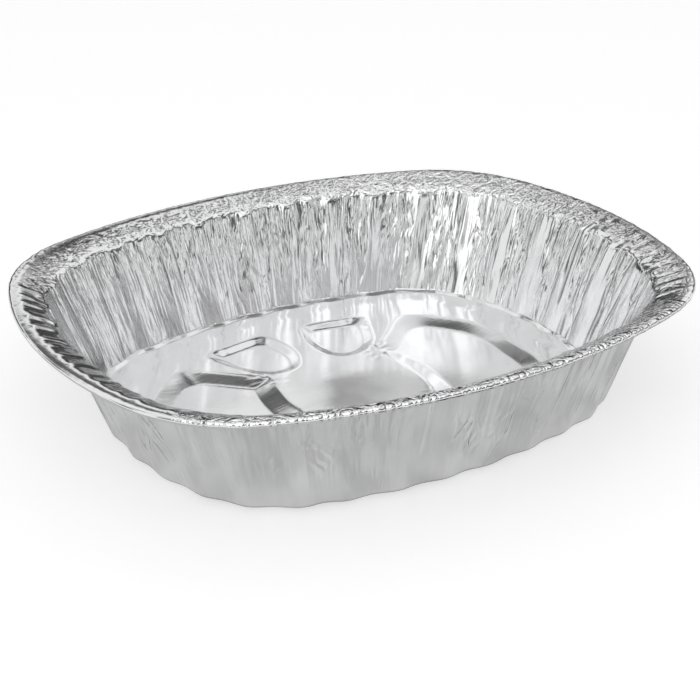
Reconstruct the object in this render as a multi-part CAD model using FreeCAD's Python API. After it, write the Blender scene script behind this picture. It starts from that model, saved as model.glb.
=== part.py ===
import FreeCAD, Part
import math
import os

Vector = FreeCAD.Vector

# Whole pan, in mm. X runs along the long side, Z is up, and the feet stand on Z = 0.
pan_length = 457.0
pan_width = 372.6
pan_height = 91.0
sheet = 0.2

# Rolled edge and the crimped flange inside it
roll_radius = 2.2
roll_turn = 250.0
roll_steps = 6
flange_at_side = 18.9
flange_at_end = 23.5
flange_drop = 8.2
crimp_depth = 0.5

# Pleated wall: how far it leans in, and its pleats as shares of their own width
wall_lean_side = 23.1
wall_lean_end = 27.8
wall_shares = (1.0, 0.75, 0.35, 0.0)
pleat_count = 32
pleat_depth = 1.5
scallop_depth = 0.9
flute_share_top = 0.17
flute_share_foot = 0.30
fold_share = 0.055

# Curves of each oval seen from above: the sides as a share of its half length,
# the ends and corners as shares of its half width
rim_curves = (1.944, 1.597, 0.543)
fold_curves = (1.834, 1.949, 0.6235)
foot_curves = (2.160, 1.4356, 0.584)

# Base: a sloping border, a floor, and panels pressed down into it
border_width = 16.0
border_drop = 2.0
panel_depth = 3.0

# Panel corners, as shares of the floor's half length and half width.
# An end panel is given by its upper edge, a side panel by its lower edge.
end_panel_corners = [(0.888, -0.334), (0.888, 0.334), (0.609, 0.718),
                     (0.270, 0.329), (0.270, -0.329), (0.609, -0.718)]
end_panel_radii = [20.0, 20.0, 16.0, 4.0, 4.0, 16.0]
end_panel_bow = 7.7
end_panel_slope = 12.5
side_panel_corners = [(0.085, 0.666), (0.085, 0.523), (0.138, 0.412), (0.226, 0.412),
                      (0.296, 0.476), (0.377, 0.741), (0.126, 0.797)]
side_panel_radius = 4.0
side_panel_slope = 8.0
smallest_radius = 2.0
corner_steps = 4
bow_steps = 8


class Outline:
    """An oval of eight arcs: two sides, two ends, and a corner arc between each pair."""

    def __init__(self, half_length, half_width, side, end, corner):
        self.side_centre = half_width - side
        self.end_centre = half_length - end
        self.side, self.end, self.corner = side, end, corner
        reach_side = side - corner
        reach_end = end - corner
        gap = math.hypot(self.end_centre, self.side_centre)
        along = (reach_side ** 2 - reach_end ** 2 + gap ** 2) / (2 * gap)
        across = math.sqrt(reach_side ** 2 - along ** 2)
        ux, uy = self.end_centre / gap, -self.side_centre / gap
        self.corner_x = along * ux + across * uy
        self.corner_y = self.side_centre + along * uy - across * ux
        self.end_limit = math.atan2(self.corner_y, self.corner_x - self.end_centre)
        self.side_limit = math.atan2(self.corner_y - self.side_centre, self.corner_x)

    def point(self, angle):
        """The point of the oval whose outward direction has this angle."""
        c, s = math.cos(angle), math.sin(angle)
        fold = math.atan2(abs(s), abs(c))
        if fold < self.end_limit:
            x, y = self.end_centre + self.end * abs(c), self.end * abs(s)
        elif fold < self.side_limit:
            x = self.corner_x + self.corner * abs(c)
            y = self.corner_y + self.corner * abs(s)
        else:
            x, y = self.side * abs(c), self.side_centre + self.side * abs(s)
        return math.copysign(x, c), math.copysign(y, s)

    def angle_at(self, share):
        """Outward direction at this share of the way round, from +X."""
        quarter = (self.end * self.end_limit
                   + self.corner * (self.side_limit - self.end_limit)
                   + self.side * (math.pi / 2 - self.side_limit))
        share = share % 1.0
        quadrant = int(share * 4)
        run = (share * 4 - quadrant) * quarter
        if quadrant % 2:
            run = quarter - run
        if run < self.end * self.end_limit:
            angle = run / self.end
        else:
            run -= self.end * self.end_limit
            angle = self.end_limit + run / self.corner
            if angle > self.side_limit:
                run -= self.corner * (self.side_limit - self.end_limit)
                angle = self.side_limit + run / self.side
        return (angle, math.pi - angle, math.pi + angle, 2 * math.pi - angle)[quadrant]


def oval(half_length, half_width, curves):
    """An oval with its curves as shares of its own size."""
    side, end, corner = curves
    return Outline(half_length, half_width, half_length * side, half_width * end,
                   half_width * corner)


roll_z = pan_height - roll_radius
fold_z = pan_height - flange_drop
floor_z = sheet + panel_depth
foot_z = floor_z + border_drop

roll_x = pan_length / 2 - roll_radius
roll_y = pan_width / 2 - roll_radius
fold_x = roll_x - flange_at_end
fold_y = roll_y - flange_at_side
foot_x = fold_x - wall_lean_end
foot_y = fold_y - wall_lean_side
floor_x = foot_x - border_width
floor_y = foot_y - border_width

roll_line = oval(roll_x, roll_y, rim_curves)
fold_line = oval(fold_x, fold_y, fold_curves)
foot_line = oval(foot_x, foot_y, foot_curves)
floor_line = Outline(floor_x, floor_y, foot_line.side - border_width,
                     foot_line.end - border_width, foot_line.corner - border_width)


def pleat_columns(height):
    """Places across one pleat, and how far each stands out, for a height share of 0 to 1."""
    flute = flute_share_foot + (flute_share_top - flute_share_foot) * height
    return [(-flute, -1.0), (0.0, -1.0), (flute, -1.0), (flute + fold_share, 1.0),
            (0.5, 0.1), (1.0 - flute - fold_share, 1.0)]


def ring(place, height, depth):
    """One ring of points. place(angle) gives x, y and z; depth pushes the pleats outward."""
    points = []
    for pleat in range(pleat_count):
        for across, out in pleat_columns(height):
            angle = fold_line.angle_at((pleat + across) / pleat_count)
            x, y, z = place(angle)
            push = depth * out
            points.append((x + push * math.cos(angle), y + push * math.sin(angle), z, angle))
    return points


def between(lower, upper, share, z):
    """Places on the straight slope from one oval to another."""
    def place(angle):
        ax, ay = lower.point(angle)
        bx, by = upper.point(angle)
        return ax + (bx - ax) * share, ay + (by - ay) * share, z
    return place


def around_roll(turn):
    """Places on the rolled edge, turned this far from its top."""
    def place(angle):
        x, y = roll_line.point(angle)
        out = roll_radius * math.sin(turn)
        z = roll_z + roll_radius * math.cos(turn)
        return x + out * math.cos(angle), y + out * math.sin(angle), z
    return place


def upper_rings():
    """The rings of the upper skin, from the free end of the roll in to the floor."""
    rings = []
    for step in range(roll_steps, -1, -1):
        turn = math.radians(roll_turn) * step / roll_steps
        rings.append(ring(around_roll(turn), 1.0, 0.0))
    middle = ring(between(fold_line, roll_line, 0.5, (pan_height + fold_z) / 2), 1.0, 0.0)
    rings.append([(x, y, z + (crimp_depth if place % 2 else -crimp_depth), angle)
                  for place, (x, y, z, angle) in enumerate(middle)])
    for share in wall_shares:
        z = foot_z + (fold_z - foot_z) * share
        depth = scallop_depth + (pleat_depth - scallop_depth) * share
        rings.append(ring(between(foot_line, fold_line, share, z), share, depth))
    rings.append(ring(between(floor_line, floor_line, 0.0, floor_z), 0.0, 0.0))
    return rings


def moved_by_sheet(rings):
    """The rings moved out by the thickness of the sheet, square to the section."""
    moved = [[] for points in rings]
    for column in range(len(rings[0])):
        angle = rings[0][column][3]
        c, s = math.cos(angle), math.sin(angle)
        section = [(p[column][0] * c + p[column][1] * s, p[column][2]) for p in rings]
        normals = []
        for (r0, z0), (r1, z1) in zip(section, section[1:]):
            run = math.hypot(r1 - r0, z1 - z0)
            normals.append(((z0 - z1) / run, (r1 - r0) / run))
        normals.append((0.0, -1.0))
        for row in range(len(rings)):
            first = normals[max(row - 1, 0)]
            second = normals[row]
            if row == 0:
                first = second
            out, up = first[0] + second[0], first[1] + second[1]
            scale = 2 * sheet / (out ** 2 + up ** 2)
            x, y, z, kept = rings[row][column]
            moved[row].append((x + c * out * scale, y + s * out * scale, z + up * scale, kept))
    return moved


def closed_line(points):
    """The wire round these points."""
    return Part.makePolygon([Vector(*p) for p in points] + [Vector(*points[0])])


def flat(points):
    """One flat face through the points."""
    return Part.Face(closed_line(points))


def band(first, second):
    """Flat faces between two rings. Four corners in one plane make one face."""
    faces = []
    count = len(first)
    for column in range(count):
        after = (column + 1) % count
        a, b = first[column][:3], first[after][:3]
        c, d = second[after][:3], second[column][:3]
        va, vb, vc, vd = (Vector(*p) for p in (a, b, c, d))
        normal = (vb - va).cross(vd - va).normalize()
        if abs(normal.dot(vc - va)) < 1e-6:
            faces.append(flat([a, b, c, d]))
        else:
            faces.append(flat([a, b, c]))
            faces.append(flat([a, c, d]))
    return faces


def rounded(points, radii, bows={}):
    """An outline listed anticlockwise, its corners rounded and some sides bowed, in steps."""
    count = len(points)
    corners = []
    for place in range(count):
        here = Vector(*points[place], 0)
        before = (Vector(*points[place - 1], 0) - here).normalize()
        after = (Vector(*points[(place + 1) % count], 0) - here).normalize()
        half = math.acos(before.dot(after)) / 2
        centre = here + (before + after).normalize() * (radii[place] / math.sin(half))
        start = here + before * (radii[place] / math.tan(half)) - centre
        sweep = math.degrees(math.pi - 2 * half)
        turns = [FreeCAD.Rotation(Vector(0, 0, 1), sweep * step / corner_steps)
                 for step in range(corner_steps + 1)]
        corners.append([centre + turn.multVec(start) for turn in turns])
    outline = []
    for place, corner in enumerate(corners):
        outline += corner
        if place in bows:
            chord = corners[(place + 1) % count][0] - corner[-1]
            out = Vector(chord.y, -chord.x, 0).normalize() * bows[place]
            for step in range(1, bow_steps):
                share = step / bow_steps
                outline.append(corner[-1] + chord * share + out * (4 * share * (1 - share)))
    return [(spot.x, spot.y) for spot in outline]


def inset(points, distance):
    """The corners of an outline, listed anticlockwise, with each side moved in."""
    count = len(points)
    moved = []
    for place in range(count):
        here = Vector(*points[place], 0)
        before = (here - Vector(*points[place - 1], 0)).normalize()
        after = (Vector(*points[(place + 1) % count], 0) - here).normalize()
        first = Vector(-before.y, before.x, 0)
        second = Vector(-after.y, after.x, 0)
        middle = first + second
        spot = here + middle * (2 * distance / middle.Length ** 2)
        moved.append((spot.x, spot.y))
    return moved


def mirrored(points, x_sign, y_sign):
    """The outline mirrored in either middle plane, still listed anticlockwise."""
    moved = [(x * x_sign, y * y_sign) for x, y in points]
    return moved if x_sign * y_sign > 0 else moved[::-1]


def on_floor(corners):
    """Corners given as shares of the floor's half length and half width."""
    return [(x * floor_x, y * floor_y) for x, y in corners]


def panels():
    """Each panel as its upper and lower outlines, seen from above."""
    end = on_floor(end_panel_corners)
    inner_side = {3: -end_panel_bow}
    lower_radii = [max(radius - end_panel_slope, smallest_radius) for radius in end_panel_radii]
    end_upper = rounded(end, end_panel_radii, inner_side)
    end_lower = rounded(inset(end, end_panel_slope), lower_radii, inner_side)
    side = on_floor(side_panel_corners)
    upper_radius = side_panel_radius + side_panel_slope
    side_lower = rounded(side, [side_panel_radius] * len(side))
    side_upper = rounded(inset(side, -side_panel_slope), [upper_radius] * len(side))
    made = []
    for x_sign in (1, -1):
        made.append((mirrored(end_upper, x_sign, 1), mirrored(end_lower, x_sign, 1)))
        for y_sign in (1, -1):
            made.append((mirrored(side_upper, x_sign, y_sign),
                         mirrored(side_lower, x_sign, y_sign)))
    return made


def base(border, drop):
    """The floor inside its border, with the panels pressed into it, for one skin."""
    made = []
    openings = []
    for upper, lower in panels():
        high = [(x, y, floor_z - drop) for x, y in upper]
        low = [(x, y, floor_z - panel_depth - drop) for x, y in lower]
        openings.append(closed_line(high))
        made += band(high, low)
        made.append(flat(low))
    floor = [closed_line([p[:3] for p in border])] + openings
    made.append(Part.makeFace(floor, "Part::FaceMakerBullseye"))
    return made


top = upper_rings()
under = moved_by_sheet(top)
faces = []
for rings, drop in ((top, 0.0), (under, sheet)):
    for first, second in zip(rings, rings[1:]):
        faces += band(first, second)
    faces += base(rings[-1], drop)
faces += band(top[0], under[0])

shell = Part.makeShell(faces)
shell.sewShape()
pan = Part.makeSolid(shell.Shells[0] if shell.ShapeType != "Shell" else shell)
if pan.Volume < 0:
    pan.reverse()

os.makedirs("parts", exist_ok=True)
pan.exportStep("parts/roasting_pan.step")
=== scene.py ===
import math

import bpy
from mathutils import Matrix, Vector


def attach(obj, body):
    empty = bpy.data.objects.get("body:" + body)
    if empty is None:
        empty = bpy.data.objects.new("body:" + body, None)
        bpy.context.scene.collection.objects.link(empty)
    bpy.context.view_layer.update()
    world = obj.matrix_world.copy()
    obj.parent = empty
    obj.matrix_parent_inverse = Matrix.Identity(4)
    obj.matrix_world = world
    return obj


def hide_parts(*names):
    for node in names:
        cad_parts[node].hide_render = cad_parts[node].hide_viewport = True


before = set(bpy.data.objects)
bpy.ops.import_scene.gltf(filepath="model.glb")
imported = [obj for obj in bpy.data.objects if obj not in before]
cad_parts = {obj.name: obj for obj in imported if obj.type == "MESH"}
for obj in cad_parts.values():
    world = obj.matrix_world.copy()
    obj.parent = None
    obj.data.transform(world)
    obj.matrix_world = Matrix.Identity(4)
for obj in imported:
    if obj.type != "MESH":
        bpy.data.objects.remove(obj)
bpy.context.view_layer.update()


# Numbers worked out by nodes

class Worked:
    """A number that nodes of one tree work out."""

    def __init__(self, tree, socket):
        self.tree = tree
        self.socket = socket

    def step(self, operation, *others):
        return work(self.tree, operation, self, *others)

    def __add__(self, other):
        return self.step("ADD", other)

    def __radd__(self, other):
        return self.step("ADD", other)

    def __sub__(self, other):
        return self.step("SUBTRACT", other)

    def __rsub__(self, other):
        return work(self.tree, "SUBTRACT", other, self)

    def __mul__(self, other):
        return self.step("MULTIPLY", other)

    def __rmul__(self, other):
        return self.step("MULTIPLY", other)

    def __truediv__(self, other):
        return self.step("DIVIDE", other)

    def __neg__(self):
        return self.step("MULTIPLY", -1.0)

    def over(self, other):
        """1 where this is the larger number, else 0."""
        return self.step("GREATER_THAN", other)

    def held(self, low=0.0, high=1.0):
        return self.step("MAXIMUM", low).step("MINIMUM", high)


def put(tree, value, slot):
    """Feed a slot with a worked number, a socket or a plain value."""
    if isinstance(value, Worked):
        tree.links.new(value.socket, slot)
    elif isinstance(value, bpy.types.NodeSocket):
        tree.links.new(value, slot)
    else:
        slot.default_value = value


def work(tree, operation, *values):
    node = tree.nodes.new("ShaderNodeMath")
    node.operation = operation
    for slot, value in zip(node.inputs, values):
        put(tree, value, slot)
    return Worked(tree, node.outputs[0])


def pick(test, when_on, when_off):
    """when_on where the test is 1, when_off where it is 0."""
    return test * when_on + (1.0 - test) * when_off


def blend(start, end, share):
    return start + (end - start) * share


def eased(value, low, high):
    """Smoothly from 0 at low to 1 at high."""
    share = ((value - low) / (high - low)).held()
    return share * share * (3.0 - 2.0 * share)


def vector(tree, x, y, z):
    node = tree.nodes.new("ShaderNodeCombineXYZ")
    for slot, value in zip(node.inputs, (x, y, z)):
        put(tree, value, slot)
    return node.outputs[0]


def noise(tree, place, scale, detail=2.0, roughness=0.5, distortion=0.0):
    """Smooth random number from -1 to 1 at a place."""
    node = tree.nodes.new("ShaderNodeTexNoise")
    put(tree, place, node.inputs["Vector"])
    node.inputs["Scale"].default_value = scale
    node.inputs["Detail"].default_value = detail
    node.inputs["Roughness"].default_value = roughness
    node.inputs["Distortion"].default_value = distortion
    return Worked(tree, node.outputs[0]) * 2.0 - 1.0


def chance(tree, number, seed):
    """A fixed random number from -1 to 1 for each whole number."""
    node = tree.nodes.new("ShaderNodeTexWhiteNoise")
    node.noise_dimensions = "2D"
    put(tree, vector(tree, number, seed, 0.0), node.inputs["Vector"])
    return Worked(tree, node.outputs[0]) * 2.0 - 1.0


def new_tree(name, inputs, outputs):
    """An empty tree, its named inputs as worked numbers, and its output node."""
    tree = bpy.data.node_groups.new(name, "GeometryNodeTree")
    for label, value in inputs.items():
        socket = tree.interface.new_socket(label, in_out="INPUT", socket_type="NodeSocketFloat")
        socket.default_value = value
    for label, kind in outputs.items():
        tree.interface.new_socket(label, in_out="OUTPUT", socket_type=kind)
    source = tree.nodes.new("NodeGroupInput")
    result = tree.nodes.new("NodeGroupOutput")
    given = {socket.name: Worked(tree, socket) for socket in source.outputs if socket.name}
    return tree, given, result


def use(tree, group, *values):
    """Use a group in a tree and give back its outputs."""
    node = tree.nodes.new("GeometryNodeGroup")
    node.node_tree = group
    for slot, value in zip(node.inputs, values):
        put(tree, value, slot)
    return [Worked(tree, socket) for socket in node.outputs]


def keep_value(tree, geometry, name, kind, value):
    """Store a value on each point under a name that the material reads."""
    node = tree.nodes.new("GeometryNodeStoreNamedAttribute")
    node.data_type = kind
    node.domain = "POINT"
    node.inputs["Name"].default_value = name
    tree.links.new(geometry, node.inputs["Geometry"])
    put(tree, value, node.inputs["Value"])
    return node.outputs[0]


# The oval that every ring of the pan follows

OVAL_SIZES = ("Half length", "Half width", "Side radius", "End radius", "Corner radius")


def oval_corner(size):
    """Middle of the corner arc, and the directions at which it starts and ends."""
    length, width, side, end, corner = size
    side_middle = width - side
    end_middle = length - end
    reach_side = side - corner
    reach_end = end - corner
    gap = (end_middle * end_middle + side_middle * side_middle).step("SQRT")
    along = (reach_side * reach_side - reach_end * reach_end + gap * gap) / (2.0 * gap)
    across = (reach_side * reach_side - along * along).step("SQRT")
    toward_x = end_middle / gap
    toward_y = -side_middle / gap
    x = along * toward_x + across * toward_y
    y = side_middle + along * toward_y - across * toward_x
    starts = y.step("ARCTAN2", x - end_middle)
    stops = (y - side_middle).step("ARCTAN2", x)
    return side_middle, end_middle, x, y, starts, stops


def oval_group():
    """Point of an oval of eight arcs, from the direction in which it faces out."""
    inputs = {"Direction": 0.0, **dict.fromkeys(OVAL_SIZES, 0.1)}
    outputs = {"X": "NodeSocketFloat", "Y": "NodeSocketFloat"}
    tree, given, result = new_tree("Oval", inputs, outputs)
    size = [given[name] for name in OVAL_SIZES]
    side_middle, end_middle, x, y, starts, stops = oval_corner(size)
    east = given["Direction"].step("COSINE")
    north = given["Direction"].step("SINE")
    lean_x = east.step("ABSOLUTE")
    lean_y = north.step("ABSOLUTE")
    folded = lean_y.step("ARCTAN2", lean_x)
    past_end = folded.over(starts)
    past_corner = folded.over(stops)
    radius = pick(past_corner, size[2], pick(past_end, size[4], size[3]))
    middle_x = pick(past_corner, 0.0, pick(past_end, x, end_middle))
    middle_y = pick(past_corner, side_middle, past_end * y)
    put(tree, (middle_x + radius * lean_x) * east.step("SIGN"), result.inputs[0])
    put(tree, (middle_y + radius * lean_y) * north.step("SIGN"), result.inputs[1])
    return tree


def direction_group():
    """Direction in which the oval faces at a share of the way round it, from +X."""
    inputs = {"Share": 0.0, **dict.fromkeys(OVAL_SIZES, 0.1)}
    outputs = {"Direction": "NodeSocketFloat"}
    tree, given, result = new_tree("Direction round oval", inputs, outputs)
    size = [given[name] for name in OVAL_SIZES]
    starts, stops = oval_corner(size)[4:]
    end_run = size[3] * starts
    corner_run = size[4] * (stops - starts)
    quarter = end_run + corner_run + size[2] * (math.pi / 2 - stops)
    quadrants = given["Share"].step("FRACT") * 4.0
    quadrant = quadrants.step("FLOOR")
    odd = quadrant.step("MODULO", 2.0)
    run = quadrants - quadrant
    run = pick(odd, 1.0 - run, run) * quarter
    near = run / size[3]
    middle = starts + (run - end_run) / size[4]
    far = stops + (run - end_run - corner_run) / size[2]
    angle = pick(run.over(end_run + corner_run), far, pick(run.over(end_run), middle, near))
    angle = pick(odd, -angle, angle)
    turned = angle + (quadrant / 2.0).step("ADD", 0.25).step("ROUND") * math.pi
    put(tree, turned, result.inputs[0])
    return tree


# Sizes of the pan in metres

FULL_TURN = 2.0 * math.pi
ROLL_RADIUS = 0.0022
ROLL_TURN = math.radians(250.0)
LENGTH = 0.457
WIDTH = 0.3726
HEIGHT = 0.091
SHEET = 0.0002
FLANGE_DROP = 0.0082
PANEL_DEPTH = 0.003
BORDER_DROP = 0.002
BORDER_WIDTH = 0.016
FLOOR_HEIGHT = SHEET + PANEL_DEPTH
FOOT_HEIGHT = FLOOR_HEIGHT + BORDER_DROP
ROLL_LINE = (LENGTH / 2 - ROLL_RADIUS, WIDTH / 2 - ROLL_RADIUS, 0.440, 0.294, 0.100)
FOLD_LINE = (ROLL_LINE[0] - 0.0235, ROLL_LINE[1] - 0.0189, 0.372, 0.322, 0.103)
FOOT_LINE = (FOLD_LINE[0] - 0.0278, FOLD_LINE[1] - 0.0231, 0.378, 0.204, 0.083)
FLOOR_LINE = tuple(size - BORDER_WIDTH for size in FOOT_LINE)

# The flange slopes more steeply on its last part, which takes this share of its drop
STEEP_FROM = 0.9
STEEP_DROP = 0.16

# The sheet laid flat: its length round the pan, the ring of that length, and how far down it goes
GIRTH = 1.2167
RING = GIRTH / FULL_TURN
FLANGE_RUN = 0.023
WALL_RUN = 0.082

# How deeply the foil is folded and creased
FOLD_WANDER = 0.0015
FOLD_UNEVEN = 0.0009
FOLD_SAG = 0.0002
SCOOP_DEPTH = 0.0011
SCOOP_VARIES = 0.0005
FOOT_RIDGE = 0.0014
BUCKLE_LEFT = 0.0004
BUCKLE_RIGHT = 0.0013
ROLL_WAVE = 0.0005
ROLL_WAVE_LEFT = 0.00005
BASE_RIPPLE = 0.00035
CORNER_PUCKER = 0.00016

# Counts of pleats, bars and rows of the mesh; the rows crowd toward the fold and the foot
PLEATS = 32
FLANGE_BARS = 80.0
ROUND_COUNT = 560
BASE_COUNT = ROUND_COUNT // 4
ROLL_ROWS = 9
FLANGE_ROWS = 10
WALL_ROWS = 25
BORDER_ROWS = 7
STRIP_ROWS = ROLL_ROWS + FLANGE_ROWS + WALL_ROWS + BORDER_ROWS
ROWS_CROWDED = 0.085
MERGE_DISTANCE = 0.00002

# Panels pressed into the base, in the quarter with X and Y above 0
END_PANEL = [(0.1412, 0.0421), (0.0968, 0.0905), (0.0430, 0.0415)]
END_PANEL_INNER = 0.0430
END_PANEL_BOW = 0.0077
END_PANEL_SLOPE = 0.0145
END_PANEL_ROUNDINGS = (0.022, 0.024, 0.004)
SIDE_PANEL = [(0.0200, 0.1005), (0.0600, 0.0935), (0.0470, 0.0600), (0.0360, 0.0520),
              (0.0220, 0.0520), (0.0135, 0.0660), (0.0135, 0.0840)]
SIDE_PANEL_SLOPE = 0.008
SIDE_PANEL_ROUNDING = 0.014

# Tight corners of the panels where the base puckers: place, reach and number of small pleats
PUCKERED_CORNERS = [(0.048, 0.041, 0.010, 9.0), (0.056, 0.090, 0.010, 8.0),
                    (0.043, 0.057, 0.009, 8.0)]


def beyond(point_x, point_y, first, second):
    """How far a point lies to the left of the line from first to second."""
    run_x, run_y = second[0] - first[0], second[1] - first[1]
    length = math.hypot(run_x, run_y)
    out_x, out_y = -run_y / length, run_x / length
    offset = out_x * first[0] + out_y * first[1]
    return point_x * out_x + point_y * out_y - offset


def softly_larger(first, second, rounding):
    return first.step("SMOOTH_MAX", second, rounding)


def panel_hollow(x, y):
    """How deep the base is pressed in at a place, from 0 on the floor to 1 in a panel."""
    right = x.step("ABSOLUTE")
    back = y.step("ABSOLUTE")
    shoulder, tip, inner = END_PANEL
    at_shoulder, at_tip, at_inner = END_PANEL_ROUNDINGS
    outside = softly_larger(right - shoulder[0], beyond(right, back, tip, shoulder), at_shoulder)
    outside = softly_larger(outside, beyond(right, back, inner, tip), at_tip)
    reach = (back / inner[1]).held()
    inner_side = END_PANEL_INNER + END_PANEL_BOW * (1.0 - reach * reach)
    outside = softly_larger(outside, inner_side - right, at_inner)
    end_panel = (-outside / END_PANEL_SLOPE).held()
    side = None
    for first, second in zip(SIDE_PANEL, SIDE_PANEL[1:] + SIDE_PANEL[:1]):
        distance = beyond(right, back, first, second)
        side = distance if side is None else softly_larger(side, distance, SIDE_PANEL_ROUNDING)
    side_panel = (1.0 - side / SIDE_PANEL_SLOPE).held()
    return end_panel.step("MAXIMUM", side_panel)


def corner_puckers(x, y):
    """Small pleats that fan out from the tight corners of the panels."""
    right = x.step("ABSOLUTE")
    back = y.step("ABSOLUTE")
    total = None
    for corner_x, corner_y, reach, count in PUCKERED_CORNERS:
        dx = right - corner_x
        dy = back - corner_y
        away = (dx * dx + dy * dy).step("SQRT") / reach
        ring = eased(away, 0.15, 0.7) * (1.0 - eased(away, 0.9, 1.7))
        fan = (dy.step("ARCTAN2", dx) * count + away * 1.5).step("SINE") * ring
        total = fan if total is None else total + fan
    return total


class Place:
    """A point of the strip: where it lies round the pan and down the sheet."""

    def __init__(self, tree, given, index, facing, fold_size):
        column = ((index + 0.5) / (STRIP_ROWS + 1)).step("FLOOR")
        row = index - column * (STRIP_ROWS + 1)
        past_roll = row - ROLL_ROWS
        wall_even = ((past_roll - FLANGE_ROWS) / WALL_ROWS).held()
        border_even = ((past_roll - FLANGE_ROWS - WALL_ROWS) / BORDER_ROWS).held()
        self.tree = tree
        self.seed = given["Seed"]
        self.share = column / ROUND_COUNT
        self.turn = (1.0 - (row / ROLL_ROWS).held()) * ROLL_TURN
        self.on_roll = 1.0 - row.over(ROLL_ROWS + 0.5)
        self.flange = (past_roll / FLANGE_ROWS).held()
        self.wall = wall_even - (wall_even * FULL_TURN).step("SINE") * ROWS_CROWDED
        self.border = border_even * border_even
        self.down = self.flange * FLANGE_RUN + self.wall * WALL_RUN + self.border * BORDER_WIDTH

        # Which stretch of the pan the point lies in, from 0 outside to 1 well inside
        direction = use(tree, facing, self.share, *fold_size)[0]
        self.east = direction.step("COSINE")
        self.north = direction.step("SINE")
        self.right = eased(self.east, 0.0, 0.55)
        self.front = eased(-self.north, 0.60, 0.80)
        self.back_left = eased(self.north, 0.0, 0.4) * (1.0 - eased(self.east, -0.1, 0.35))
        self.near_left = eased(self.east * -0.988 - self.north * 0.156, 0.78, 0.86)
        self.near_right = eased(self.east * 0.866 - self.north * 0.500, 0.80, 0.88)
        self.at_fold = eased(self.flange, 0.75, 1.0) * (1.0 - eased(self.wall, 0.0, 0.04))
        self.level_band = 0.14 + self.front * 0.10 + self.near_left * 0.10

    def on_sheet(self, lean=0.0, squeeze=0.0):
        """The place on the sheet, leaning as it goes down, with lengths down it squeezed."""
        around = (self.share + self.down * (lean / GIRTH)) * FULL_TURN
        return vector(self.tree, around.step("COSINE") * RING, around.step("SINE") * RING,
                      self.down * squeeze + self.seed)

    def draw(self, number, which):
        """A random number from -1 to 1 for each pleat or bar, other for each draw."""
        return chance(self.tree, number, self.seed + which)


def pleats(place, given):
    """Smooth flutes with puckered foil between them: the push outwards, and where no flute is."""
    tree = place.tree
    counted = place.share * given["Pleats"]
    pleat = counted.step("ROUND")
    offset = counted - pleat + place.draw(pleat, 0.0) * 0.06
    half_flute = blend(0.12, 0.22, place.wall) + place.draw(pleat, 3.0) * 0.04
    half_flute = half_flute + place.right * 0.035
    off_flute = eased(offset.step("ABSOLUTE"), half_flute - 0.05, half_flute + 0.08)
    turning = place.draw(pleat, 5.0) * blend(5.0, 8.5, place.right)
    turned_flute = turning * offset * (1.0 - off_flute)

    # Toward the foot the flutes run out into even scallops
    sway = noise(tree, place.on_sheet(), 14.0, 1.0)
    scallops = (counted * FULL_TURN + sway * 1.2).step("COSINE")
    toward_foot = eased(place.wall, 0.40, 0.90)
    profile = blend(off_flute * 1.6 - 1.0, 0.1 - scallops * 0.95, toward_foot)
    push = given["Flute depth"] * profile * blend(1.0, 0.85, place.wall)
    push = push + given["Flute depth"] * turned_flute * (1.0 - toward_foot)

    # The foil between them is puckered, less so low on the wall
    broad = noise(tree, place.on_sheet(0.0, 0.14), 62.0, 1.0)
    slant_left = noise(tree, place.on_sheet(0.42, 0.16), 120.0, 1.0)
    slant_right = noise(tree, place.on_sheet(-0.42, 0.16), 120.0, 1.0)
    leaves = slant_left.step("ABSOLUTE").step("MAXIMUM", slant_right.step("ABSOLUTE"))
    puckers = broad + leaves * 1.1 - 0.30
    fading = blend(1.0, 0.30, eased(place.wall, 0.50, 1.0))
    push = push + given["Wrinkle depth"] * puckers * fading * blend(0.15, 1.0, off_flute)
    on_wall = eased(place.flange, 0.8, 1.0) * (1.0 - eased(place.border, 0.0, 0.5))
    return push * on_wall, off_flute, pleat


def crimps(place, given):
    """Rise of the flange: flat bars across its ends, each tilted its own way, and crinkles."""
    tree = place.tree
    bars = place.share * FLANGE_BARS + noise(tree, place.on_sheet(), 26.0, 1.0) * 1.3
    bar = bars.step("FLOOR")
    in_bar = bars - bar - 0.5
    leaning = place.draw(bar, 11.0) * in_bar * blend(0.15, 0.55, place.near_right)
    lift = place.draw(bar, 17.0)
    gap = eased(in_bar.step("ABSOLUTE"), 0.33, 0.46)
    barred = place.near_left.step("MAXIMUM", place.near_right * 0.9)
    crimp = (leaning + lift * 0.06 + gap * 0.9) * blend(0.10, 1.0, barred)
    crimp = crimp * eased(place.flange, place.level_band - 0.05, place.level_band + 0.12)
    crinkle = noise(tree, place.on_sheet(0.0, 0.8), 300.0, 2.0, 0.6)
    calm = blend(1.0, 0.30, place.back_left) * blend(1.0, 0.14, place.near_right)
    crimp = crimp + crinkle * blend(0.8, 0.04, place.near_left) * calm
    on_flange = eased(place.flange, 0.06, 0.2) * (1.0 - eased(place.wall, 0.0, 0.05))
    return given["Crimp depth"] * crimp * on_flange


def fold_rise(place, off_flute, pleat):
    """Rise of the fold between flange and wall, which is uneven and dips over each flute."""
    uneven = noise(place.tree, place.on_sheet(), 130.0, 2.0, 0.6)
    rise = place.at_fold * (uneven * FOLD_UNEVEN - FOLD_SAG)
    scoop = (1.0 - off_flute) * eased(place.flange, 0.55, 1.0) * (1.0 - eased(place.wall, 0.0, 0.06))
    return rise - scoop * (SCOOP_DEPTH + place.draw(pleat, 9.0) * SCOOP_VARIES)


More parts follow.
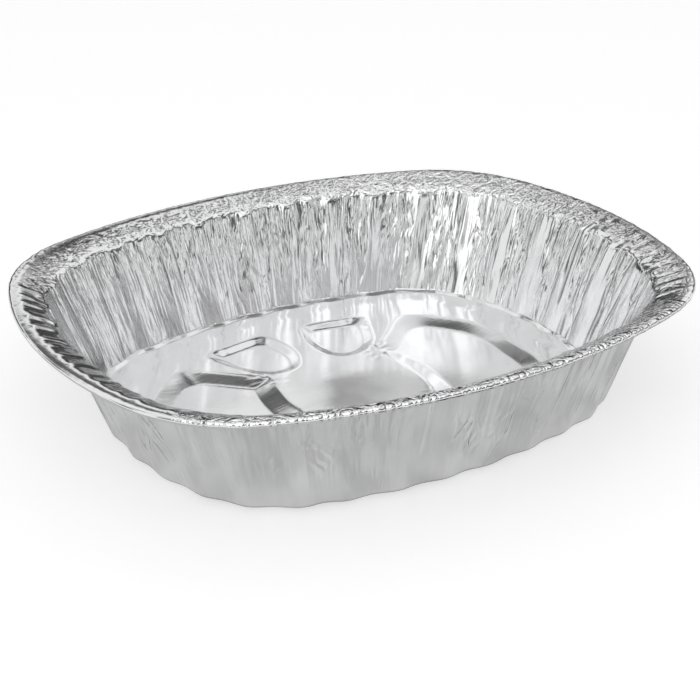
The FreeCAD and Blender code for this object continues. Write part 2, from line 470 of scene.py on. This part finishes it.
def foot_rise(place):
    """Rise of the fine ridge round the foot of the wall, and of the buckled border inside it."""
    from_foot = place.border * BORDER_WIDTH
    ridge = eased(from_foot, 0.0, 0.0004) * (1.0 - eased(from_foot, 0.0012, 0.0029))
    on_border = eased(place.border, 0.05, 0.35) * (1.0 - eased(place.border, 0.65, 0.95))
    buckle = noise(place.tree, place.on_sheet(), 42.0, 1.0)
    return ridge * FOOT_RIDGE + on_border * buckle * blend(BUCKLE_LEFT, BUCKLE_RIGHT, place.right)


def crushed_roll(place, given):
    """How far out and up a point of the roll lies; it is crushed a little all the way round."""
    tree = place.tree
    radius = given["Roll radius"]
    crush = noise(tree, vector(tree, place.share * 280.0, place.turn * 0.8, place.seed), 1.0, 2.0, 0.7)
    crushed = radius * (1.0 + crush * blend(0.30, 0.12, place.near_left))
    wave = noise(tree, vector(tree, place.share * 250.0, place.flange * 4.0, place.seed), 1.0)
    beside_roll = 1.0 - eased(place.flange, 0.1, 0.3)
    rise = beside_roll * wave * blend(ROLL_WAVE, ROLL_WAVE_LEFT, place.near_left)
    rise = rise - place.on_roll * (radius - crushed * place.turn.step("COSINE"))
    return place.on_roll * crushed * place.turn.step("SINE"), rise


def keep_sheet_values(place, off_flute, geometry):
    """Store what the foil reads: its place on the sheet, and where it is folded or drawn."""
    tree = place.tree
    around = place.share * FULL_TURN
    on_ring = vector(tree, around.step("COSINE") * RING, around.step("SINE") * RING, place.down)
    geometry = keep_value(tree, geometry, "sheet", "FLOAT_VECTOR", on_ring)
    past_fold = eased(place.wall, 0.0, 0.03)
    on_flute = blend(blend(0.92, 0.14, place.right), 1.0, off_flute)
    puckered = past_fold * on_flute * blend(1.0, 0.7, eased(place.wall, 0.6, 1.0))
    puckered = puckered * (1.0 - eased(place.border, 0.0, 0.1))
    geometry = keep_value(tree, geometry, "puckered", "FLOAT", puckered)
    outer_band = 1.0 - eased(place.flange, 0.30, 0.55)
    crinkled = blend(1.0, 0.03, place.near_left) * blend(1.0, 0.14, place.near_right)
    crinkled = crinkled * blend(1.0, 0.40, place.back_left)
    crinkled = crinkled * blend(1.0, 0.20, place.back_left * outer_band)
    front_crinkle = place.front * (1.0 - place.near_right) * 1.4
    crinkled = crinkled.step("MAXIMUM", front_crinkle) * (1.0 - past_fold)
    geometry = keep_value(tree, geometry, "crinkled", "FLOAT", crinkled)
    return keep_value(tree, geometry, "drawn", "FLOAT", 1.0 - eased(place.border, 0.0, 0.3))


def moved(tree, geometry, x, y, z):
    """Every point of a geometry put at its worked place."""
    node = tree.nodes.new("GeometryNodeSetPosition")
    tree.links.new(geometry, node.inputs["Geometry"])
    put(tree, vector(tree, x, y, z), node.inputs["Position"])
    return node.outputs[0]


def grid(tree, columns, rows):
    node = tree.nodes.new("GeometryNodeMeshGrid")
    node.inputs["Vertices X"].default_value = columns + 1
    node.inputs["Vertices Y"].default_value = rows + 1
    return node.outputs[0]


def strip_sheet(tree, given, index, oval, facing, ring_sizes):
    """The strip wrapped round the oval: roll, flange, wall and border."""
    place = Place(tree, given, index, facing, ring_sizes[1])
    rings = []
    for size in ring_sizes:
        faced = use(tree, facing, place.share, *size)[0]
        rings.append(use(tree, oval, faced, *size))
    x, y = rings[0]
    for (next_x, next_y), reached in zip(rings[1:], (place.flange, place.wall, place.border)):
        x = blend(x, next_x, reached)
        y = blend(y, next_y, reached)

    # The flange is level outside, slopes down, and is steeper just before the fold
    sloping = ((place.flange - place.level_band) / (STEEP_FROM - place.level_band)).held()
    steep = ((place.flange - STEEP_FROM) / (1.0 - STEEP_FROM)).held()
    dropped = sloping * (1.0 - STEEP_DROP) + steep * STEEP_DROP
    z = given["Height"] - given["Flange drop"] * dropped
    z = blend(z, FOOT_HEIGHT, place.wall)
    z = blend(z, FLOOR_HEIGHT, place.border)

    push, off_flute, pleat = pleats(place, given)
    wander = noise(tree, place.on_sheet(), 170.0, 2.0, 0.6)
    roll_out, roll_rise = crushed_roll(place, given)
    out = push + place.at_fold * wander * FOLD_WANDER + roll_out
    z = z + crimps(place, given) + fold_rise(place, off_flute, pleat) + foot_rise(place) + roll_rise
    strip = moved(tree, grid(tree, ROUND_COUNT, STRIP_ROWS),
                  x + out * place.east, y + out * place.north, z)
    return keep_sheet_values(place, off_flute, strip)


def base_sheet(tree, given, index, oval, facing, floor_size):
    """The base: squares laid in rings that grow into the oval of the floor."""
    step_x = ((index + 0.5) / (BASE_COUNT + 1)).step("FLOOR")
    step_y = index - step_x * (BASE_COUNT + 1)
    cell_x = step_x / (BASE_COUNT / 2) - 1.0
    cell_y = step_y / (BASE_COUNT / 2) - 1.0
    grown = cell_x.step("ABSOLUTE").step("MAXIMUM", cell_y.step("ABSOLUTE"))
    steep = cell_y.step("ABSOLUTE").over(cell_x.step("ABSOLUTE"))
    by_side = pick(cell_x.over(0.0), cell_y / grown / 8.0, 0.5 - cell_y / grown / 8.0)
    by_top = pick(cell_y.over(0.0), 0.25 - cell_x / grown / 8.0, 0.75 + cell_x / grown / 8.0)
    share = pick(steep, by_top, by_side)
    faced = use(tree, facing, share + 1.0, *floor_size)[0]
    edge_x, edge_y = use(tree, oval, faced, *floor_size)
    x = edge_x * grown
    y = edge_y * grown
    hollow = panel_hollow(x, y)
    ripple = noise(tree, vector(tree, x, y, given["Seed"]), 22.0, 1.0) * BASE_RIPPLE
    ripple = ripple * (1.0 - eased(grown, 0.8, 1.0)) + corner_puckers(x, y) * CORNER_PUCKER
    z = FLOOR_HEIGHT - given["Panel depth"] * hollow + ripple * (1.0 - hollow * 0.9)
    return moved(tree, grid(tree, BASE_COUNT, BASE_COUNT), x, y, z)


def pan_tree(material):
    """The pan's sheet: a strip wrapped round the oval, and the base inside it."""
    inputs = {"Length": LENGTH, "Width": WIDTH, "Height": HEIGHT, "Roll radius": ROLL_RADIUS,
              "Flange drop": FLANGE_DROP, "Pleats": PLEATS, "Flute depth": 0.0013,
              "Wrinkle depth": 0.0011, "Crimp depth": 0.0009, "Panel depth": PANEL_DEPTH,
              "Seed": 7.0}
    tree, given, result = new_tree("Pressed foil pan", inputs, {"Geometry": "NodeSocketGeometry"})
    oval = oval_group()
    facing = direction_group()
    half_length = given["Length"] / 2.0 - given["Roll radius"]
    half_width = given["Width"] / 2.0 - given["Roll radius"]
    ring_sizes = [[half_length + (size[0] - ROLL_LINE[0]), half_width + (size[1] - ROLL_LINE[1]),
                   *size[2:]] for size in (ROLL_LINE, FOLD_LINE, FOOT_LINE, FLOOR_LINE)]
    index = Worked(tree, tree.nodes.new("GeometryNodeInputIndex").outputs[0])
    strip = strip_sheet(tree, given, index, oval, facing, ring_sizes)
    base = base_sheet(tree, given, index, oval, facing, ring_sizes[3])

    joined = tree.nodes.new("GeometryNodeJoinGeometry")
    tree.links.new(strip, joined.inputs[0])
    tree.links.new(base, joined.inputs[0])
    merged = tree.nodes.new("GeometryNodeMergeByDistance")
    merged.inputs["Distance"].default_value = MERGE_DISTANCE
    tree.links.new(joined.outputs[0], merged.inputs["Geometry"])
    smooth = tree.nodes.new("GeometryNodeSetShadeSmooth")
    tree.links.new(merged.outputs[0], smooth.inputs[0])
    real = tree.nodes.new("GeometryNodeRealizeInstances")
    tree.links.new(smooth.outputs[0], real.inputs[0])
    finish = tree.nodes.new("GeometryNodeSetMaterial")
    finish.inputs["Material"].default_value = material
    tree.links.new(real.outputs[0], finish.inputs["Geometry"])
    tree.links.new(finish.outputs[0], result.inputs[0])
    return tree


# Foil

def attribute(tree, name, output):
    node = tree.nodes.new("ShaderNodeAttribute")
    node.attribute_name = name
    return node.outputs[output]


def stretched(tree, place, scale):
    """A place with each length scaled, so that a pattern on it runs long one way."""
    node = tree.nodes.new("ShaderNodeMapping")
    node.inputs["Scale"].default_value = scale
    tree.links.new(place, node.inputs["Vector"])
    return node.outputs[0]


def along_sheet(tree, squeeze):
    """The place on the sheet, with lengths down it squeezed."""
    return stretched(tree, attribute(tree, "sheet", "Vector"), (1.0, 1.0, squeeze))


def folds(tree, squeeze, scale, detail=0.0, bend=0.0):
    """A pattern of folds: 0 along each fold and up to 1 between them."""
    return noise(tree, along_sheet(tree, squeeze), scale, detail, 0.5, bend).step("ABSOLUTE")


def slanted_creases(tree, down, lean, scale):
    """Creases that lean as they go down the wall: 1 along each, 0 beside it."""
    turned = tree.nodes.new("ShaderNodeVectorRotate")
    turned.rotation_type = "Z_AXIS"
    tree.links.new(along_sheet(tree, 0.30), turned.inputs["Vector"])
    put(tree, down * lean, turned.inputs["Angle"])
    line = noise(tree, turned.outputs[0], scale, 0.0, 0.5, 1.2).step("ABSOLUTE")
    near = (1.0 - line * 2.6).held()
    return near * near


def wall_relief(tree):
    """Streaks, leaf-shaped folds and creases down the wall, in metres."""
    puckered = Worked(tree, attribute(tree, "puckered", "Fac"))
    upper = Worked(tree, attribute(tree, "upper", "Fac"))
    part = tree.nodes.new("ShaderNodeSeparateXYZ")
    tree.links.new(attribute(tree, "sheet", "Vector"), part.inputs[0])
    to_right = eased(Worked(tree, part.outputs[0]), 0.0, 0.11)
    down = Worked(tree, part.outputs[2])
    streaks = noise(tree, along_sheet(tree, 0.08), 330.0, 1.0)
    leaves = folds(tree, 0.17, 340.0, 1.0, 0.4)
    wide_leaves = folds(tree, 0.18, 150.0, 0.0, 0.5)
    height = streaks * blend(0.00044, 0.00026, to_right) + leaves * 0.00022
    height = height + wide_leaves * blend(0.0010, 0.0020, to_right)
    height = height * puckered * blend(0.30, 1.0, upper)
    broken = eased(noise(tree, along_sheet(tree, 0.5), 50.0, 0.0), 0.10, 0.35)
    leaning_left = slanted_creases(tree, down, 1.6, 62.0)
    leaning_right = slanted_creases(tree, down, -1.8, 55.0)
    creases = leaning_left.step("MAXIMUM", leaning_right) * broken
    return height + creases * puckered * blend(0.00052, 0.00017, upper)


def foil_material():
    """Bright rolled foil: fine folds that run down the wall, crinkles on the flange."""
    material = bpy.data.materials.new("Bright aluminium foil")
    material.use_nodes = True
    tree = material.node_tree
    shader = tree.nodes["Principled BSDF"]
    shader.inputs["Metallic"].default_value = 1.0
    places = tree.nodes.new("ShaderNodeTexCoord").outputs["Object"]
    crinkled = Worked(tree, attribute(tree, "crinkled", "Fac"))
    drawn = Worked(tree, attribute(tree, "drawn", "Fac"))

    crumple = folds(tree, 0.9, 170.0, 0.0, 0.5) + folds(tree, 1.3, 360.0) * 0.35
    grain = noise(tree, places, 800.0, 2.0)
    rolling = noise(tree, stretched(tree, places, (0.06, 1.0, 0.06)), 700.0, 1.0)
    height = wall_relief(tree) + crumple * crinkled * 0.0016 + grain * 0.000006
    height = height + rolling * (1.0 - drawn) * 0.000016
    bump = tree.nodes.new("ShaderNodeBump")
    bump.inputs["Strength"].default_value = 1.0
    bump.inputs["Distance"].default_value = 1.0
    put(tree, height, bump.inputs["Height"])
    tree.links.new(bump.outputs[0], shader.inputs["Normal"])

    clouds = noise(tree, places, 30.0, 3.0, 0.55)
    rolled = noise(tree, along_sheet(tree, 0.05), 160.0, 2.0)
    gloss = blend(0.13, 0.14, drawn) + clouds * 0.04 + rolled * 0.03
    put(tree, gloss.held(0.08, 0.4), shader.inputs["Roughness"])
    tone = tree.nodes.new("ShaderNodeMix")
    tone.data_type = "RGBA"
    put(tree, (clouds * 0.5 + rolled * 0.3 + 0.5).held(), tone.inputs["Factor"])
    tone.inputs["A"].default_value = (0.75, 0.752, 0.757, 1.0)
    tone.inputs["B"].default_value = (0.86, 0.862, 0.867, 1.0)
    tree.links.new(tone.outputs["Result"], shader.inputs["Base Color"])
    return material


def in_scene(name, data):
    """A new object for a mesh, lamp or camera, linked into the scene."""
    held = bpy.data.objects.new(name, data)
    bpy.context.scene.collection.objects.link(held)
    return held


def mark_upper_side(mesh):
    """Store which side of the sheet each point lies on: 1 on the side that faces up."""
    count = len(mesh.vertices) // 2
    middle = min(range(count), key=lambda number: mesh.vertices[number].co.xy.length)
    first_is_up = mesh.vertices[middle].normal.z > 0.0
    side = mesh.attributes.new("upper", "FLOAT", "POINT")
    side.data.foreach_set("value", [float(first_is_up)] * count + [float(not first_is_up)] * count)


def make_pan(material):
    """The pan as one plain mesh: the pressed sheet, given its thickness."""
    holder = in_scene("pan_builder", bpy.data.meshes.new("pan_builder"))
    nodes = holder.modifiers.new("Pressed foil", "NODES")
    nodes.node_group = pan_tree(material)
    thickness = holder.modifiers.new("Sheet thickness", "SOLIDIFY")
    thickness.thickness = SHEET
    thickness.offset = -1.0
    thickness.use_even_offset = False
    ready = holder.evaluated_get(bpy.context.evaluated_depsgraph_get())
    mesh = bpy.data.meshes.new_from_object(ready)
    mesh.name = "foil_pan"
    mark_upper_side(mesh)
    bpy.data.objects.remove(holder)
    return in_scene("foil_pan", mesh)


foil = foil_material()
pan = make_pan(foil)
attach(pan, "root")
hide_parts("roasting_pan")


# Table, light and camera

TABLE_REACH = 12.0
TABLE_GREY = 0.80
TABLE_GLOW = 0.42
WORLD_LIGHT = 0.65
CARD_STEPS = 12
CARD_DISTANCE = 4.0
SCREEN_GRAIN = (5.0, 5.0, 0.2)
# The mat round the foot is painted shadow: a grey ring, seen only in reflection, that stands in for
# the pan's shadow on the table.
SHADOW_MAT_GRAIN = (22.0, 22.0, 22.0)
SHADOW_MAT_STEPS = 96
SHADOW_MAT_HOLE = (0.165, 0.125)
SHADOW_MAT_EDGE = (0.46, 0.42)
SHADOW_MAT_HEIGHT = 0.0004
# The patch in front is painted shade: a black sheet, seen only in reflection, that stands in for the
# shade in the gap under the front roll.
SHADE_PATCH_X = (-0.07, 0.06)
SHADE_PATCH_Y = (-0.37, -0.24)
SHADE_PATCH_HEIGHT = 0.0006

# Plain cards behind and before the pan: headings and rises in degrees, and grey
PLAIN_CARDS = {
    "Dark_strip_behind": ((46.0, 66.0), (39.0, 56.0), 0.08),
    "Dark_strip_left": ((66.0, 79.0), (45.5, 56.0), 0.08),
    "Dark_corner_behind": ((56.2, 120.0), (32.5, 38.0), 0.08),
    "Dark_edge_behind": ((69.0, 120.0), (26.5, 32.5), 0.08),
    "Dark_slope_behind": ((40.0, 56.0), (31.5, 39.0), 0.30),
    "Dark_sky_behind": ((-10.0, 75.0), (62.0, 74.0), 0.22),
    "Dark_flag_front": ((-100.0, 0.0), (14.0, 36.0), 0.10),
}


def seen_bright(tree):
    """1 for what is seen straight, mirrored or through something, else 0."""
    seen = tree.nodes.new("ShaderNodeLightPath")
    direct = Worked(tree, seen.outputs["Is Camera Ray"])
    mirrored = Worked(tree, seen.outputs["Is Glossy Ray"])
    clear = Worked(tree, seen.outputs["Is Transmission Ray"])
    return (direct + mirrored + clear).held()


def mesh_of(name, points, faces):
    mesh = bpy.data.meshes.new(name)
    mesh.from_pydata(points, [], faces)
    return mesh


def table():
    """A plain white table that keeps the pan's shadow."""
    corners = [(-TABLE_REACH, -TABLE_REACH, 0), (TABLE_REACH, -TABLE_REACH, 0),
               (TABLE_REACH, TABLE_REACH, 0), (-TABLE_REACH, TABLE_REACH, 0)]
    mesh = mesh_of("table", corners, [(0, 1, 2, 3)])
    material = bpy.data.materials.new("White table")
    material.use_nodes = True
    tree = material.node_tree
    shader = tree.nodes["Principled BSDF"]
    shader.inputs["Base Color"].default_value = (TABLE_GREY, TABLE_GREY, TABLE_GREY, 1.0)
    shader.inputs["Roughness"].default_value = 0.9
    shader.inputs["Emission Color"].default_value = (1.0, 1.0, 1.0, 1.0)
    put(tree, seen_bright(tree) * TABLE_GLOW, shader.inputs["Emission Strength"])
    mesh.materials.append(material)
    in_scene("table", mesh)


def white_world():
    world = bpy.data.worlds.new("White studio")
    bpy.context.scene.world = world
    world.use_nodes = True
    tree = world.node_tree
    background = tree.nodes["Background"]
    background.inputs["Color"].default_value = (1.0, 1.0, 1.0, 1.0)
    put(tree, WORLD_LIGHT + seen_bright(tree) * (1.0 - WORLD_LIGHT), background.inputs["Strength"])


def lamp(name, place, target, size, power):
    light = bpy.data.lights.new(name, "AREA")
    light.shape = "SQUARE"
    light.size = size
    light.energy = power
    held = in_scene(name, light)
    held.location = place
    held.rotation_euler = (Vector(target) - Vector(place)).to_track_quat("-Z", "Y").to_euler()


def camera():
    """The photograph's view, from a little above the rim at the near left."""
    target = Vector((0.0, 0.0, 0.0450))
    away = Vector((-0.4659, -0.7754, 0.4263)).normalized()
    lens = bpy.data.cameras.new("photo_view")
    lens.sensor_width = 36.0
    lens.lens = 78.03
    lens.shift_x = -0.0046
    lens.shift_y = -0.0242
    view = in_scene("photo_view", lens)
    view.location = target + away * 1.061
    view.rotation_euler = (-away).to_track_quat("-Z", "Y").to_euler()
    bpy.context.scene.camera = view


def reflect_only(mesh, grey, mottle=0.0, grain=SHADOW_MAT_GRAIN):
    """Put a mesh in the scene that only gives its grey, even or mottled, to what mirrors it."""
    material = bpy.data.materials.new(mesh.name)
    material.use_nodes = True
    tree = material.node_tree
    shader = tree.nodes["Principled BSDF"]
    shader.inputs["Base Color"].default_value = (0.0, 0.0, 0.0, 1.0)
    shader.inputs["Specular IOR Level"].default_value = 0.0
    shader.inputs["Emission Color"].default_value = (1.0, 1.0, 1.0, 1.0)
    shader.inputs["Emission Strength"].default_value = grey
    if mottle:
        places = tree.nodes.new("ShaderNodeTexCoord").outputs["Object"]
        patches = noise(tree, stretched(tree, places, grain), 1.0, 2.0)
        put(tree, grey + patches * (2.0 * mottle), shader.inputs["Emission Strength"])
    mesh.materials.append(material)
    held = in_scene(mesh.name, mesh)
    held.visible_camera = False
    held.visible_diffuse = False
    held.visible_shadow = False


def card(name, heading, rise, grey, distance=CARD_DISTANCE, streaks=0.0):
    """A card that only the foil mirrors, between two headings and two rises in degrees."""
    points = []
    faces = []
    for row in range(CARD_STEPS + 1):
        up = math.radians(rise[0] + (rise[1] - rise[0]) * row / CARD_STEPS)
        for column in range(CARD_STEPS + 1):
            way = math.radians(heading[0] + (heading[1] - heading[0]) * column / CARD_STEPS)
            points.append((distance * math.cos(up) * math.cos(way),
                           distance * math.cos(up) * math.sin(way), distance * math.sin(up)))
    for row in range(CARD_STEPS):
        for column in range(CARD_STEPS):
            first = row * (CARD_STEPS + 1) + column
            above = first + CARD_STEPS + 1
            faces.append((first, first + 1, above + 1, above))
    reflect_only(mesh_of(name, points, faces), grey, streaks, SCREEN_GRAIN)


def painted_shadow_mat():
    """Painted shadow: a grey mat round the foot that stands in for the pan's shadow on the table,
    which only the outside of the wall mirrors.
    """
    points = []
    for half_x, half_y in (SHADOW_MAT_HOLE, SHADOW_MAT_EDGE):
        for step in range(SHADOW_MAT_STEPS):
            angle = FULL_TURN * step / SHADOW_MAT_STEPS
            points.append((half_x * math.cos(angle), half_y * math.sin(angle), SHADOW_MAT_HEIGHT))
    faces = []
    for step in range(SHADOW_MAT_STEPS):
        after = (step + 1) % SHADOW_MAT_STEPS
        faces.append((step, after, SHADOW_MAT_STEPS + after, SHADOW_MAT_STEPS + step))
    # Grey 0.56, mottled: the tone of the painted shadow that the outside of the wall mirrors.
    reflect_only(mesh_of("Painted_shadow_mat", points, faces), 0.56, 0.14)


def painted_shade_patch():
    """Painted shade: a black sheet on the table in front that stands in for the shade in the gap under
    the front roll, which the underside of the roll mirrors.
    """
    corners = [(SHADE_PATCH_X[0], SHADE_PATCH_Y[0], SHADE_PATCH_HEIGHT), (SHADE_PATCH_X[1], SHADE_PATCH_Y[0], SHADE_PATCH_HEIGHT),
               (SHADE_PATCH_X[1], SHADE_PATCH_Y[1], SHADE_PATCH_HEIGHT), (SHADE_PATCH_X[0], SHADE_PATCH_Y[1], SHADE_PATCH_HEIGHT)]
    # Grey 0.02: the near-black of the painted shade.
    reflect_only(mesh_of("Painted_shade_patch", corners, [(0, 1, 2, 3)]), 0.02)


table()
white_world()
card("Dark_horizon_behind", (10.0, 115.0), (0.0, 18.0), 0.05, 5.0)
for name, (heading, rise, grey) in PLAIN_CARDS.items():
    card(name, heading, rise, grey)
# The screen's streaks are a painted reflection: they stand in for the crinkled back wall as the base
# mirrors it.
card("Painted_wall_reflection_screen", (36.0, 60.5), (18.0, 31.5), 0.62, 3.9, 0.85)
painted_shadow_mat()
painted_shade_patch()
for turn in range(8):
    start = 125.0 + 30.0 * turn
    card("Dark_stand_%d" % turn, (start, start + 11.0), (0.0, 24.0), 0.08, 4.5)
for turn in range(4):
    start = 150.0 + 28.0 * turn
    card("Dark_banner_%d" % turn, (start, start + 10.0), (32.0, 52.0), 0.15, 4.5)
lamp("Overhead softbox", (-0.9, -1.1, 1.5), (0, 0, 0.03), 2.2, 9.0)
camera()
bpy.context.scene.view_settings.view_transform = "Standard"
